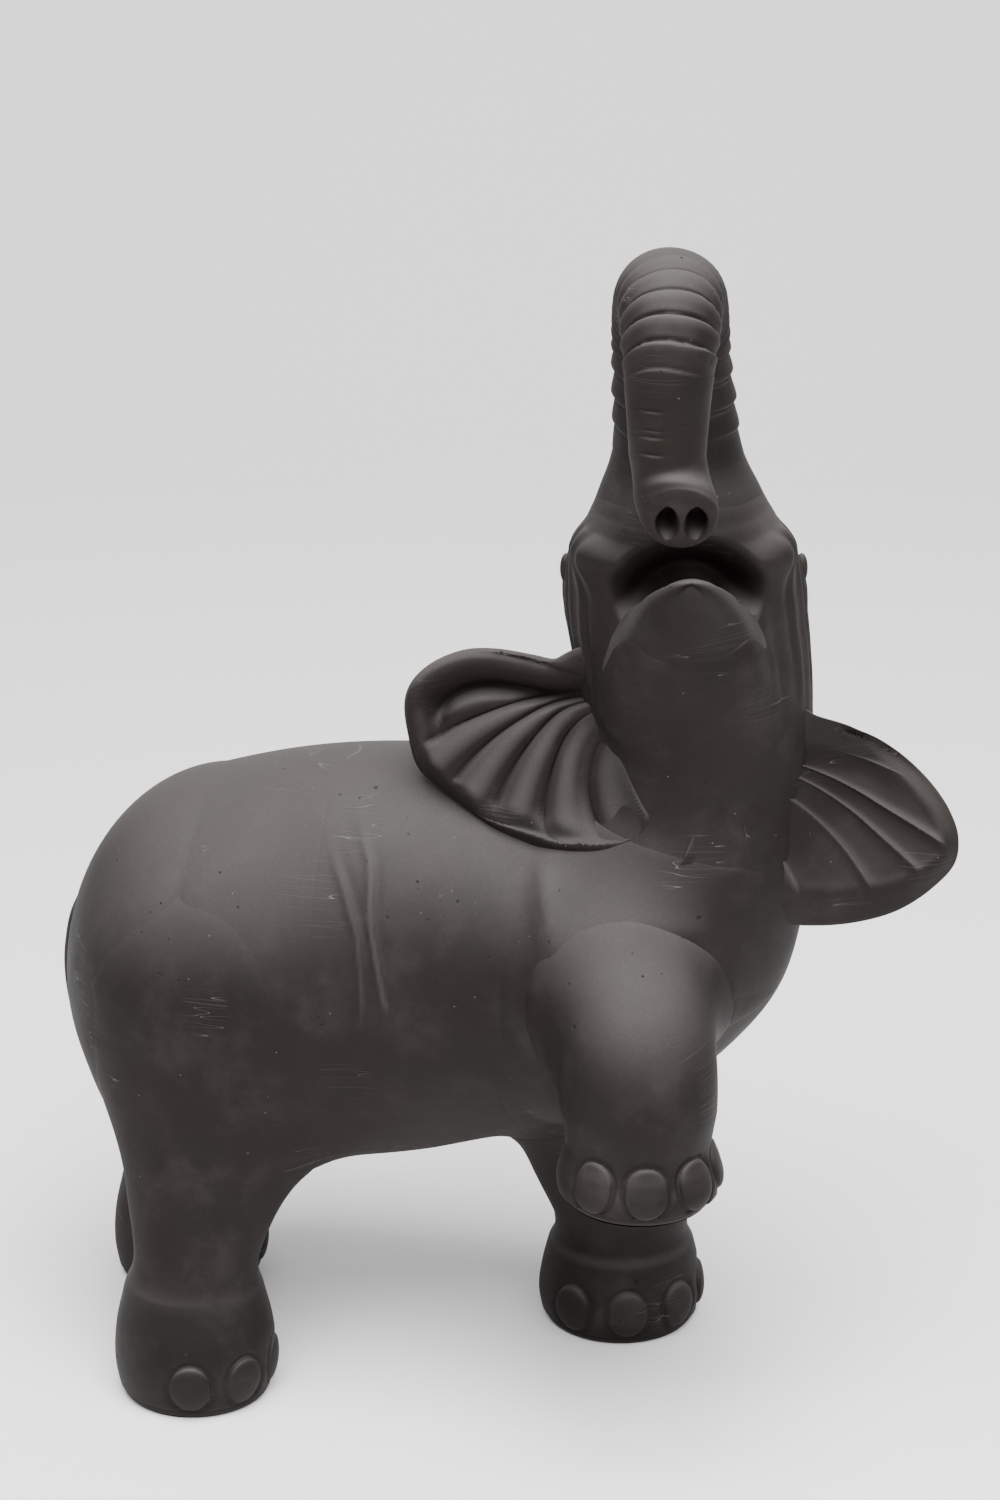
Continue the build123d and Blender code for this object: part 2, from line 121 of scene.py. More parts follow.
soot_black, charcoal = (0.0044, 0.0030, 0.0026, 1), (0.0105, 0.0080, 0.0071, 1)
iron_brown, ash_bloom = (0.0070, 0.0041, 0.0032, 1), (0.024, 0.0205, 0.0190, 1)
# Dust with painted top light for faces that look up, then painted shade in brown for faces that look down.
dust_and_top_light, painted_underside_shade = (0.062, 0.0570, 0.0543, 1), (0.009, 0.0058, 0.0049, 1)
# Painted shade in brown for the hollows, then a lighter grey of wear and painted highlight for raised places.
painted_hollow_shade, wear_and_highlight_grey = (0.007, 0.0047, 0.0038, 1), (0.070, 0.065, 0.0615, 1)
grain_lift, pit_black, bare_grey = (1.22, 1.2, 1.18, 1), (0.008, 0.006, 0.005, 1), (0.13, 0.122, 0.116, 1)


def fired_clay():
    """Matte clay: mottled grey, painted brown shade in the hollows and underneath, dust and painted top light on top,
    wear and painted highlight on raised places, with pits, grit and scratches.
    """
    material = bpy.data.materials.new("fired_black_clay")
    material.use_nodes = True
    tree = material.node_tree
    tree.nodes.clear()

    def noise(scale, detail, rough=0.55):
        """A cloud over the clay: smooth random values summed at finer and finer scales."""
        return add_node(
            tree, "ShaderNodeTexNoise", Vector=where, Scale=scale, Detail=detail, Roughness=rough
        ).outputs["Fac"]

    def marks(group, **values):
        """The mask of a group, laid over the clay with values of its own."""
        return add_node(tree, "ShaderNodeGroup", node_tree=group, Place=where, **values).outputs["Mask"]

    where = add_node(tree, "ShaderNodeTexCoord").outputs["Object"]
    # The relief attribute rules painted shade in the hollows and the lighter grey of wear and painted highlight on
    # raised places.
    relief = add_node(tree, "ShaderNodeAttribute", attribute_name="relief").outputs["Fac"]
    # The up-facing part of the normal rules the dust and painted top light on top and the painted shade underneath.
    facing = add_node(tree, "ShaderNodeNewGeometry").outputs["Normal"]
    up = add_node(tree, "ShaderNodeSeparateXYZ", facing).outputs["Z"]

    cloudy = noise(9.0, 5.0)
    blotchy = noise(34.0, 4.0, 0.65)
    grainy = noise(900.0, 3.0, 0.7)
    stained = noise(14.0, 3.0)
    pinholes, scratches = pinhole_group(), scratch_group()
    pits = marks(pinholes, Scale=210.0, Size=0.2, Amount=0.52)
    coarse = marks(pinholes, Scale=85.0, Size=0.14, Amount=0.50)
    specks = marks(pinholes, Scale=190.0, Size=0.09, Amount=0.56)
    long_lines = marks(scratches, Turn=(0.3, 0.5, 0.2), Width=0.005)
    short_lines = marks(scratches, Turn=(1.2, -0.3, 0.8), Width=0.004)

    # Each coat goes over the last: its colour, then the value that rules it, where it starts and ends, and its
    # strength at those two ends.
    tone = soot_black
    for colour, value, start, end, low, high in (
        (charcoal, cloudy, 0.35, 0.68, 0.0, 1.0),
        (iron_brown, stained, 0.48, 0.70, 0.0, 0.75),
        (ash_bloom, blotchy, 0.42, 0.85, 0.0, 0.6),
        # Dust and painted top light: lighter where the skin faces up.
        (dust_and_top_light, up, 0.15, 0.95, 0.0, 0.68),
        # Painted shade in brown where the skin faces down.
        (painted_underside_shade, up, -0.95, 0.15, 0.9, 0.0),
        # Painted shade in brown where the relief goes in: grooves, folds, the mouth, holes and nostrils.
        (painted_hollow_shade, relief, -1.0, 0.0, 0.9, 0.0),
        # Lighter grey on raised places: rubbed wear and painted highlight.
        (wear_and_highlight_grey, relief, 0.15, 1.0, 0.0, 0.4),
        (grain_lift, grainy, 0.45, 0.75, 0.0, 1.0),
        (pit_black, pits, None, None, None, None),
        (pit_black, coarse, None, None, None, None),
        (bare_grey, specks, None, None, None, None),
        (bare_grey, long_lines, 0.0, 1.0, 0.0, 0.45),
        (bare_grey, short_lines, 0.0, 1.0, 0.0, 0.4),
    ):
        mask = value if start is None else ramp(tree, value, start, end, low, high)
        blend = "MULTIPLY" if colour is grain_lift else "MIX"
        coat = add_node(tree, "ShaderNodeMix", mask, *[None] * 5, tone, colour, data_type="RGBA", blend_type=blend)
        tone = coat.outputs[2]

    # Heights in the same way: the value, its strength (below 0 it goes in) and its depth in metres.
    normal = None
    for value, strength, depth in (
        (blotchy, 0.35, 0.0012), (grainy, 0.30, 0.0002), (pits, -0.9, 0.0006), (coarse, -0.9, 0.0012),
        (long_lines, -0.4, 0.0003), (short_lines, -0.4, 0.0003), (specks, 0.3, 0.0002),
    ):
        normal = add_node(
            tree, "ShaderNodeBump", invert=strength < 0,
            Strength=abs(strength), Distance=depth, Height=value, Normal=normal,
        ).outputs["Normal"]

    roughness = ramp(tree, cloudy, 0.3, 0.75, 0.60, 0.82)
    finish = {"Base Color": tone, "Roughness": roughness, "Specular IOR Level": 0.14, "Normal": normal}
    skin = add_node(tree, "ShaderNodeBsdfPrincipled", **finish)
    add_node(tree, "ShaderNodeOutputMaterial", skin.outputs["BSDF"])
    return material


clay = fired_clay()


def put(name, data):
    """A new object that shows a mesh, a light or a camera, at the origin."""
    placed = bpy.data.objects.new(name, data)
    bpy.context.collection.objects.link(placed)
    return placed


# --- Body ---
# Three hollow clay shells, thrown as one bent barrel and luted together with
# slip: the domed hindquarters, the middle ring and the domed forequarters.
# Places are in millimetres: x to the right, y away and z up from the floor.
sole_place = next(m for m in frame["record"]["mounts"] if m["name"] == "right_hind_sole")["pos_m"]
right_hind_foot, left_hind_foot = (-152.0, -104.0), (-164.0, 25.0)
left_fore_foot, raised_foot, raised_sole = (62.0, -26.0), (65.0, -182.0), 143.0
leg_slip, spot_pitch, one_side, far_off, look_around = 36.0, 3.5, 9.0, 99.0, 50.0
middle = np.array([right_hind_foot[0] - 1000 * sole_place[0], right_hind_foot[1] - 1000 * sole_place[1], 0.0])


def run_through(stations, count):
    """A smooth run through a few rows of sizes: Catmull-Rom pieces, read at even steps."""
    rows = np.array(stations, float)
    padded = np.vstack([2 * rows[0] - rows[1], rows, 2 * rows[-1] - rows[-2]])
    place = np.linspace(0, len(rows) - 1, count)
    index = np.minimum(place.astype(int), len(rows) - 2)
    f = (place - index)[:, None]
    a, b, c, d = padded[index], padded[index + 1], padded[index + 2], padded[index + 3]
    return b + 0.5 * f * (c - a + f * (2 * a - 5 * b + 4 * c - d + f * (3 * (b - c) + d - a)))


def length_along(path):
    """Length from the start of a path to each of its points: the running sum of the steps."""
    return np.concatenate([[0], np.cumsum(np.linalg.norm(np.diff(path, axis=0), axis=1))])


def through_three(share, start, half, end):
    """The parabola through three sizes at shares 0, 1/2 and 1."""
    return start * (1 - share) * (1 - 2 * share) + 4 * half * share * (1 - share) + end * share * (2 * share - 1)


def ease(value, start, end):
    """0 before start, 1 after end, and a smooth rise between."""
    f = np.clip((value - start) / (end - start), 0.0, 1.0)
    return f * f * (3 - 2 * f)


def tube(centre, along, side, width, depth):
    """Oval rings along a path: centre + side * w cos(t) + (along x side) * d sin(t).

    Spots of its skin, in rows a pitch apart, are kept with their normals for reading distances.
    """
    count = len(centre)
    along = np.broadcast_to(np.asarray(along, float), (count, 3))
    along = along / np.linalg.norm(along, axis=1, keepdims=True)
    side = np.broadcast_to(np.asarray(side, float), (count, 3))
    rings = {
        "centre": np.asarray(centre, float), "along": along, "side": side,
        "over": np.cross(along, side), "wide": np.maximum(width, 0.02) / 2, "deep": np.maximum(depth, 0.02) / 2,
    }
    skin = skin_of(rings, 128)
    length = np.concatenate([[0], np.cumsum(np.linalg.norm(np.diff(skin, axis=0), axis=2).max(1))])
    rows = np.unique(np.minimum(np.searchsorted(length, np.arange(0, length[-1], spot_pitch)), count - 1))
    rings["spots"] = skin[rows].reshape(-1, 3)
    rings["facing"] = outward(skin)[rows].reshape(-1, 3)
    return rings


def once_round(count):
    """Even angles once round: a full turn in equal steps."""
    return np.linspace(0, 2 * math.pi, count, endpoint=False)


def skin_of(rings, around):
    """The grid of points on a tube: one row for each ring, one column for each angle."""
    angle = once_round(around)
    across = (rings["wide"][:, None] * np.cos(angle))[..., None] * rings["side"][:, None]
    over = (rings["deep"][:, None] * np.sin(angle))[..., None] * rings["over"][:, None]
    return rings["centre"][:, None] + across + over


def gap_to(rings, points):
    """Distance from points to a tube's skin, below 0 inside it, and the skin's normal there.

    Both are read at the nearest of the tube's spots: (point - spot) . normal. Past an end of the
    tube, where the nearest spot lies well to one side, it is the straight distance.
    """
    gap, facing = np.full(len(points), far_off), np.zeros((len(points), 3))
    low, high = points.min(0) - look_around, points.max(0) + look_around
    inside = ((rings["spots"] > low) & (rings["spots"] < high)).all(1)
    spots, ways = rings["spots"][inside], rings["facing"][inside]
    if len(spots) == 0:
        return gap, facing
    low, high = rings["spots"].min(0) - look_around, rings["spots"].max(0) + look_around
    near = np.flatnonzero(((points > low) & (points < high)).all(1))
    about = spots.mean(0)
    there = (spots - about).astype(np.float32)
    half = (there ** 2).sum(1) / 2
    for start in range(0, len(near), 2048):
        some = near[start:start + 2048]
        best = (half - (points[some] - about).astype(np.float32) @ there.T).argmin(1)
        off = points[some] - spots[best]
        level, straight = (off * ways[best]).sum(1), np.linalg.norm(off, axis=1)
        beside = ease(np.sqrt(np.maximum(straight ** 2 - level ** 2, 0)), spot_pitch, one_side)
        gap[some] = level + (straight - level) * beside
        facing[some] = ways[best]
    return gap, facing


def rounded(a, b, slip):
    """The smaller of two distances, rounded where they are nearly equal: min(a, b) - (k - |a - b|)^2 / 4k."""
    h = np.maximum(slip - np.abs(a - b), 0)
    return np.minimum(a, b) - h * h / (4 * slip)


def softened(field, times):
    """A field on a closed grid, averaged with its neighbours along and round: weights 1/4, 1/2, 1/4."""
    for _ in range(times):
        padded = np.concatenate([field[:1], field, field[-1:]])
        field = 0.5 * field + 0.25 * (padded[:-2] + padded[2:])
        field = 0.5 * field + 0.25 * (np.roll(field, 1, 1) + np.roll(field, -1, 1))
    return field


def outward(grid):
    """Unit normals of a grid that is closed round its columns: the step round crossed with the step along."""
    turn = np.roll(grid, -1, 1) - np.roll(grid, 1, 1)
    normal = np.cross(turn, np.gradient(grid, axis=0))
    return normal / np.maximum(np.linalg.norm(normal, axis=2, keepdims=True), 1e-9)


rounds, steps, step_share = 4, 14, 0.6
near_share, most_share, fade_share = 1.3, 0.55, 1.4
handover, deepest = 3.0, 5.0


def luted(grid, joints):
    """Slip smeared over the joints with some neighbours, each with the reach of its slip.

    Each point goes out along its normal, in steps of a share of the distance left, until the rounded
    union of its own skin and its neighbours' is met. Past the joint the skin hands over and sinks away
    below the neighbour by p^2 / 2(p + 5). Every second point is worked out, and those between are
    filled in evenly.
    """
    few = grid[::2, ::2]
    start, normal = few.reshape(-1, 3), outward(grid)[::2, ::2].reshape(-1, 3)
    reach = max(slip for _, slip in joints)
    near = np.flatnonzero(np.min([gap_to(rings, start)[0] for rings, _ in joints], axis=0) < near_share * reach)
    if len(near) == 0:
        return grid
    start, normal = start[near], normal[near]
    out = np.zeros(len(near))
    for _ in range(rounds):
        read = [(gap_to(rings, start + out[:, None] * normal), slip) for rings, slip in joints]
        then = out
        for _ in range(steps):
            union, gap = out, np.full(len(out), far_off)
            for (value, facing), slip in read:
                value = value + (out - then) * (facing * normal).sum(1)
                union, gap = rounded(union, value, slip), np.minimum(gap, value)
            out = np.clip(out - step_share * union, 0, most_share * reach)
    past = np.maximum(out - gap - handover, 0)
    sunk = np.minimum(0.5 * past ** 2 / (past + 5), deepest)
    field = np.zeros(few.shape[0] * few.shape[1])
    field[near] = out * (1 - ease(past, 0, fade_share * reach)) - sunk
    field = softened(field.reshape(few.shape[:2]), 2)
    rows = np.minimum(np.arange(grid.shape[0]) / 2, few.shape[0] - 1)
    low = np.minimum(rows.astype(int), few.shape[0] - 2)
    field = field[low] + (rows - low)[:, None] * (field[low + 1] - field[low])
    field = np.stack([field, 0.5 * (field + np.roll(field, -1, 1))], 2).reshape(len(rows), -1)
    return grid + softened(field, 2)[..., None] * outward(grid)


rng = np.random.default_rng(7)
lump_count, lump_height = 14, 0.13
lump_ways = rng.normal(size=(lump_count, 3)) / rng.uniform(14, 60, size=(lump_count, 1))
lump_phases = rng.uniform(0, 2 * math.pi, lump_count)


def lumps(points):
    """Hand-smoothed clay is never quite true: the sum of low sine waves in fourteen directions."""
    return lump_height * np.sin(points @ lump_ways.T + lump_phases).sum(-1)


def line_distance(points, line):
    """Distance from points to a bent line, both seen from the front, and how far along the line."""
    flat = points[..., [0, 2]]
    line = np.array(line, float)
    best = np.full(flat.shape[:-1], 1e9)
    share = np.zeros(flat.shape[:-1])
    for index in range(len(line) - 1):
        start, step = line[index], line[index + 1] - line[index]
        f = np.clip(((flat - start) @ step) / (step @ step), 0, 1)
        away = np.linalg.norm(flat - start - f[..., None] * step, axis=-1)
        closer = away < best
        best = np.where(closer, away, best)
        share = np.where(closer, (index + f) / (len(line) - 1), share)
    return best, share


def fold(points, line, height, reach):
    """A pressed ridge or groove along a line: height * exp(-(distance / reach)^2), fading at the ends."""
    away, share = line_distance(points, line)
    fade = ease(share, -0.02, 0.25) * (1 - ease(share, 0.75, 1.02))
    return height * np.exp(-((away / reach) ** 2)) * fade


def clay_piece(name, grids, reliefs, end_relief=0.0):
    """Closed clay skins from grids as one piece: quads between rows, a fan to the middle of each end row."""
    points, loops, sizes, values, base = [], [], [], [], 0
    for grid, relief in zip(grids, reliefs):
        rows, around = grid.shape[:2]
        index = base + np.arange(rows * around).reshape(rows, around)
        turned = np.roll(index, -1, 1)
        first, last = base + rows * around, base + rows * around + 1
        quads = np.stack([index[:-1], turned[:-1], turned[1:], index[1:]], -1)
        low = np.stack([turned[0], index[0], np.full(around, first)], -1)
        high = np.stack([index[-1], turned[-1], np.full(around, last)], -1)
        points += [grid.reshape(-1, 3), grid[[0, -1]].mean(1)]
        loops += [quads.ravel(), low.ravel(), high.ravel()]
        sizes += [np.full(quads.size // 4, 4), np.full(2 * around, 3)]
        values += [np.broadcast_to(relief, (rows, around)).ravel(), np.full(2, end_relief)]
        base = last + 1
    points = (np.concatenate(points) - middle) / 1000
    loops, sizes = np.concatenate(loops).astype(np.int32), np.concatenate(sizes).astype(np.int32)
    mesh = bpy.data.meshes.new(name)
    mesh.vertices.add(len(points))
    mesh.vertices.foreach_set("co", points.astype(np.float32).ravel())
    mesh.loops.add(len(loops))
    mesh.loops.foreach_set("vertex_index", loops)
    mesh.polygons.add(len(sizes))
    mesh.polygons.foreach_set("loop_start", np.concatenate([[0], np.cumsum(sizes)[:-1]]).astype(np.int32))
    mesh.polygons.foreach_set("loop_total", sizes)
    mesh.update(calc_edges=True)
    mesh.polygons.foreach_set("use_smooth", np.ones(len(sizes), bool))
    values = np.concatenate(values).astype(np.float32)
    # The relief is stored for the clay material, which paints shade into low relief and highlight with wear onto high
    # relief.
    mesh.attributes.new("relief", "FLOAT", "POINT").data.foreach_set("value", values)
    mesh.materials.append(clay)
    mesh.validate()
    piece = put(name, mesh)
    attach(piece, "root")
    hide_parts(name)


def shaped(grid, raised, extra=0.0):
    """Moves a grid out by the raised amount and the lumps, and gives the raised amount as relief."""
    moved = grid + outward(grid) * (raised + extra + lumps(grid))[..., None]
    return moved, np.clip(raised / 2.0, -1, 1)


hip_x, hip_y = -140.0, -34.0
spine_heading = math.radians(-10.0)
bend_start, bend_radius, shoulder_station = 115.0, 240.0, 185.0
rump_dome, chest_dome, chest_lift = 76.0, 98.0, 40.0
flank_seam, shoulder_seam = 66.0, 172.0


def body_rings():
    """The bent barrel: a straight run, an arc to the right, and quarter-round domes on both ends."""
    dome = np.radians(np.concatenate([np.linspace(0, 70, 26), np.linspace(72, 89.5, 14)]))
    straight = np.linspace(0, shoulder_station, 92)
    hind, fore = dome[:0:-1], dome[1:]
    station = np.concatenate([-rump_dome * np.sin(hind), straight, shoulder_station + chest_dome * np.sin(fore)])
    part = np.concatenate([np.cos(hind), np.ones(len(straight)), np.cos(fore)])
    lift = np.where(station > shoulder_station, chest_lift * (1 - part), 0.0)
    share = np.clip(station / shoulder_station, 0, 1)
    height = through_three(share, 194.0, 208.0, 174.0) * part
    width = through_three(share, 164.0, 184.0, 166.0) * part
    heading = spine_heading - np.maximum(station - bend_start, 0) / bend_radius
    ahead = np.minimum(station, bend_start)
    x = hip_x + ahead * math.cos(spine_heading) + bend_radius * (math.sin(spine_heading) - np.sin(heading))
    y = hip_y + ahead * math.sin(spine_heading) - bend_radius * (math.cos(spine_heading) - np.cos(heading))
    z = 205.0 + 0.105 * station + lift
    along = np.stack([np.cos(heading), np.sin(heading), np.zeros(len(station))], 1)
    side = np.stack([-np.sin(heading), np.cos(heading), np.zeros(len(station))], 1)
    return tube(np.stack([x, y, z], 1), along, side, width, height), station


body, body_station = body_rings()

# The other tubes that the body meets are laid out here, because the slip at each joint needs both sides.
sole_shares, edge_turn = np.array([0.0, 0.3, 0.6, 0.85, 0.93]), np.radians(np.linspace(10, 90, 9))
round_off, edge_height, ankle, leg_dome = 8.0, 4.8, 60.0, 56.0


def foot_rows(sole, *sizes):
    """Heights and sizes of the flat sole and its soft edge, which turns up through a quarter of an oval."""
    flat = [np.full(len(sole_shares), sole)] + [size * sole_shares for size in sizes]
    bend = [sole + edge_height * (1 - np.cos(edge_turn))]
    bend += [size - round_off * (1 - np.sin(edge_turn)) for size in sizes]
    return np.vstack([np.column_stack(flat), np.column_stack(bend)])


def standing_leg(foot, step, sizes, top):
    """A leg from its flat sole up: rings of given widths and depths, closed by a dome inside the body."""
    rows = run_through(sizes, 150)
    angle = np.radians(np.linspace(4, 89, 30))
    high = [top + leg_dome * np.sin(angle), sizes[-1][1] * np.cos(angle), sizes[-1][2] * np.cos(angle)]
    upright = rows[rows[:, 0] > edge_height + 0.5]
    rows = np.vstack([foot_rows(0.0, *rows[0, 1:]), upright, np.column_stack(high)])
    share = np.clip((rows[:, 0] - ankle) / (top - ankle), 0, 1.3)
    centre = np.column_stack([foot[0] + step[0] * share, foot[1] + step[1] * share, rows[:, 0]])
    return tube(centre, (0, 0, 1), (1, 0, 0), rows[:, 1], rows[:, 2])


hind_sizes = (
    (0, 74, 74), (18, 80, 80), (36, 78, 78), (54, 70, 70), (72, 62, 62),
    (107, 79, 65), (142, 96, 71), (177, 110, 79), (212, 122, 90),
)
right_hind = standing_leg(right_hind_foot, (24, 18), hind_sizes, 212)
left_hind = standing_leg(left_hind_foot, (24, -18), hind_sizes, 212)
fore_sizes = (
    (0, 78, 78), (14, 84, 84), (27, 82, 82), (41, 76, 76), (54, 69, 69),
    (88, 84, 82), (122, 94, 88), (156, 101, 88), (190, 104, 84),
)
left_fore = standing_leg(left_fore_foot, (-26, -7), fore_sizes, 190)


knee_height, knee_radius, arm_length, arm_dome = 188.0, 42.0, 70.0, 26.0


def raised_rings():
    """The raised leg: a foot and shin that hang, an arc over the knee, and the arm back to the shoulder."""
    shin = run_through(((143, 70), (149, 76), (156, 77), (164, 73), (173, 69), (188, 73)), 50)
    low = np.vstack([foot_rows(raised_sole, 70.0), shin[shin[:, 0] > raised_sole + edge_height + 0.6]])
    turn = np.radians(np.linspace(2, 90, 44))
    arm = np.linspace(1, arm_length, 30)
    end = np.radians(np.linspace(5, 89, 16))
    hanging, level = np.zeros(len(low)), np.ones(len(arm) + len(end))
    back = np.concatenate([
        hanging, knee_radius * (1 - np.cos(turn)), knee_radius + arm, knee_radius + arm_length + arm_dome * np.sin(end)
    ])
    z = np.concatenate([low[:, 0], knee_height + knee_radius * np.sin(turn), (knee_height + knee_radius) * level])
    tilt = np.concatenate([hanging, turn, math.pi / 2 * level])
    share = np.clip((back - knee_radius) / 52, 0, 1)
    end_part = np.concatenate([np.ones(len(back) - len(end)), np.cos(end)])
    knee = np.concatenate([low[:, 1], 73 + 3 * np.sin(turn), 76 * level])
    centre = np.column_stack([raised_foot[0] - 19 * back / 94, raised_foot[1] + back, z])
    along = np.column_stack([np.zeros(len(z)), np.sin(tilt), np.cos(tilt)])
    return tube(centre, along, (1, 0, 0), (knee + 18 * share) * end_part, (knee + 24 * share) * end_part)


right_fore = raised_rings()

crown_height, cheek_height, neck_base, neck_x, root_y = 450.0, 400.0, 226.0, 84.0, -106.0


def head_x_at(height):
    """The head leans sideways as it rises: 0.075 for each unit of height."""
    return neck_x - 0.075 * (height - crown_height)


def head_rings():
    """Neck, nape and cheeks by parabolas, then shoulders that draw in to the root of the trunk."""
    share = np.linspace(0, 1, 120)
    start = np.radians(np.linspace(88, 8, 12))
    top = run_through((
        (400, 114, 124, 20), (414, 114, 121, 19), (428, 109, 111, 15.5), (438, 96, 95, 10), (447, 78, 78, 4.5),
        (455, 69, 68, 1), (464, 56, 55, 0), (471, 30, 30, 0), (473, 2, 2, 0),
    ), 110)[1:]
    z = np.concatenate([neck_base - 22 * np.sin(start), neck_base + (cheek_height - neck_base) * share, top[:, 0]])
    width = np.concatenate([88 * np.cos(start), through_three(share, 88, 106, 114), top[:, 1]])
    depth = np.concatenate([114 * np.cos(start), through_three(share, 114, 110, 124), top[:, 2]])
    back = np.concatenate([np.full(12, 25.0), through_three(share, 25, 20, 20), top[:, 3]])
    rising = through_three(share, neck_x, neck_x + 10, head_x_at(cheek_height))
    x = np.concatenate([np.full(12, neck_x), rising, head_x_at(top[:, 0])])
    return tube(np.column_stack([x, root_y + back, z]), (0, 0, 1), (1, 0, 0), width, depth)


head = head_rings()


root_height, arch_height, arch_radius, fall_length, curl_radius = 442.0, 530.0, 32.0, 29.0, 28.0


def trunk_rings():
    """Up from the crown, over in a half circle, down, and out again at the tip."""
    rise = np.linspace(0, 1, 130)
    arch = np.radians(np.linspace(0, 180, 170))[1:]
    fall = np.linspace(0, 1, 50)[1:]
    curl = np.linspace(0, 1, 60)[1:]
    tip_turn = np.radians(70) * curl
    straight, falling = np.zeros(len(rise)), np.ones(len(fall))
    fall_y, tip_height = root_y - 2 * arch_radius, arch_height - fall_length
    z = np.concatenate([
        root_height + (arch_height - root_height) * rise, arch_height + arch_radius * np.sin(arch),
        arch_height - fall_length * fall, tip_height - curl_radius * np.sin(tip_turn),
    ])
    y = np.concatenate([
        straight + root_y, root_y - arch_radius * (1 - np.cos(arch)),
        fall_y * falling, fall_y - curl_radius * (1 - np.cos(tip_turn)),
    ])
    drift = np.concatenate([straight, -4 * arch / math.pi, -4 * falling, -4 + 6 * curl])
    x = head_x_at(np.minimum(z, arch_height))
    x[len(rise):] = head_x_at(arch_height)
    turn = np.concatenate([straight, arch, math.pi * falling, math.pi - tip_turn])
    size = np.vstack([
        run_through(((88, 78), (74, 66), (66, 60), (60, 56), (57, 54), (55, 52), (53, 52)), len(rise)),
        run_through((
            (53, 52), (52, 51), (50, 48), (46, 45), (43, 42), (40, 39), (37, 36), (35, 35), (34.5, 35), (34, 33)
        ), len(z) - len(rise)),
    ])
    along = np.column_stack([np.zeros(len(z)), -np.sin(turn), np.cos(turn)])
    centre = np.column_stack([x + drift, y, z])
    return tube(centre, along, (1, 0, 0), size[:, 0], size[:, 1]), length_along(centre), turn


trunk, trunk_length, trunk_turn = trunk_rings()


hip_folds = (
    (((-69, 306), (-61, 286), (-61, 259), (-55, 226), (-52, 212)), 1.8, 2.2),
    (((-83, 296), (-74, 276), (-67, 254), (-65, 226), (-66, 200)), 1.5, 2.0),
    (((-65, 300), (-58, 284), (-58, 258), (-52, 228)), -1.0, 1.8),
    (((-79, 292), (-71, 275), (-64, 252), (-62, 228)), -0.9, 1.8),
    (((-66, 200), (-69, 180), (-69, 155), (-66, 140)), -0.7, 1.2),
    (((-112, 305), (-99, 306), (-86, 300)), -0.25, 0.9),
)
shoulder_line = ((26, 296), (20, 278), (16, 262), (10, 240), (22, 214))


def body_raised(points):
    """The skin folds and the seam in front of the hip, and the slip ledge over the shoulder.

    The ledge is a step across its line, 2.4 high, that dies away from the line as exp(-(d / 9)^2).
    """
    near_side = 0.7 * ease(-points[..., 1], 60, 80)
    raised = near_side * sum(fold(points, line, height, reach) for line, height, reach in hip_folds)
    away, share = line_distance(points, shoulder_line)
    ahead = ease(points[..., 0] + 0.25 * points[..., 2], 80, 92)
    ends = ease(share, 0, 0.15) * (1 - ease(share, 0.8, 1))
    ledge = np.exp(-((away / 9) ** 2)) * (ahead - 0.45) * ends
    return raised + 2.4 * ledge * ease(-points[..., 1], 80, 110)


def body_skin():
    """The whole barrel, luted to the legs and the neck and then moved out by its folds, and its relief."""
    neighbours = (right_hind, left_hind, left_fore, right_fore, head)
    grid = luted(skin_of(body, 288), [(rings, leg_slip) for rings in neighbours])
    return shaped(grid, body_raised(grid))


body_grid, body_relief = body_skin()
body_outward = outward(body_grid)


def body_shell(name, start, end):
    """One shell of the body: its rings, and the skin carried 9 past each seam and turned in.

    It goes in by d^2 / 2(d + 4), and by 3 more for each millimetre past the sixth.
    """
    over = np.maximum(np.maximum(start - body_station, body_station - end), 0.0)
    keep = over < 9
    sunk = 0.5 * over ** 2 / (over + 4) + np.maximum(over - 6, 0) * 3
    grid = body_grid - body_outward * sunk[:, None, None]
    clay_piece(name, [grid[keep]], [body_relief[keep]])


body_shell("hindquarters_shell", -1000.0, flank_seam)
body_shell("barrel_shell", flank_seam, shoulder_seam)
body_shell("shoulder_shell", shoulder_seam, 1000.0)

# --- Legs ---
# Solid rolls of clay pressed on to the body with slip. The feet are broad and
# round, with a soft edge to the flat sole; the right forefoot is lifted, with
# its knee thrust forwards. Each foot has four pressed oval nails.
nail_wide, nail_high, nail_centre, nail_step = 10.5, 12.0, 18.0, math.radians(42.0)
# The nails' and eyes' relief of 0.25 makes them a little lighter: wear and painted highlight.
hind_turn, fore_turn, pad_relief = -90.0, -128.0, 0.25


def nail_places(first_angle):
    """The directions of the four nails round a foot: from the first angle on, one step apart."""
    return math.radians(first_angle) + nail_step * np.arange(4)


def nail_shares(grid, foot, sole, first_angle):
    """Distance from the middle of the nearest nail, in shares of the nail's oval."""
    angle = np.arctan2(grid[..., 1] - foot[1], grid[..., 0] - foot[0])
    radius = np.hypot(grid[..., 1] - foot[1], grid[..., 0] - foot[0])
    best = np.full(angle.shape, 9.0)
    for place in nail_places(first_angle):
        off = (angle - place + math.pi) % (2 * math.pi) - math.pi
        best = np.minimum(best, np.hypot(off * radius / nail_wide, (grid[..., 2] - sole - nail_centre) / nail_high))
    return best


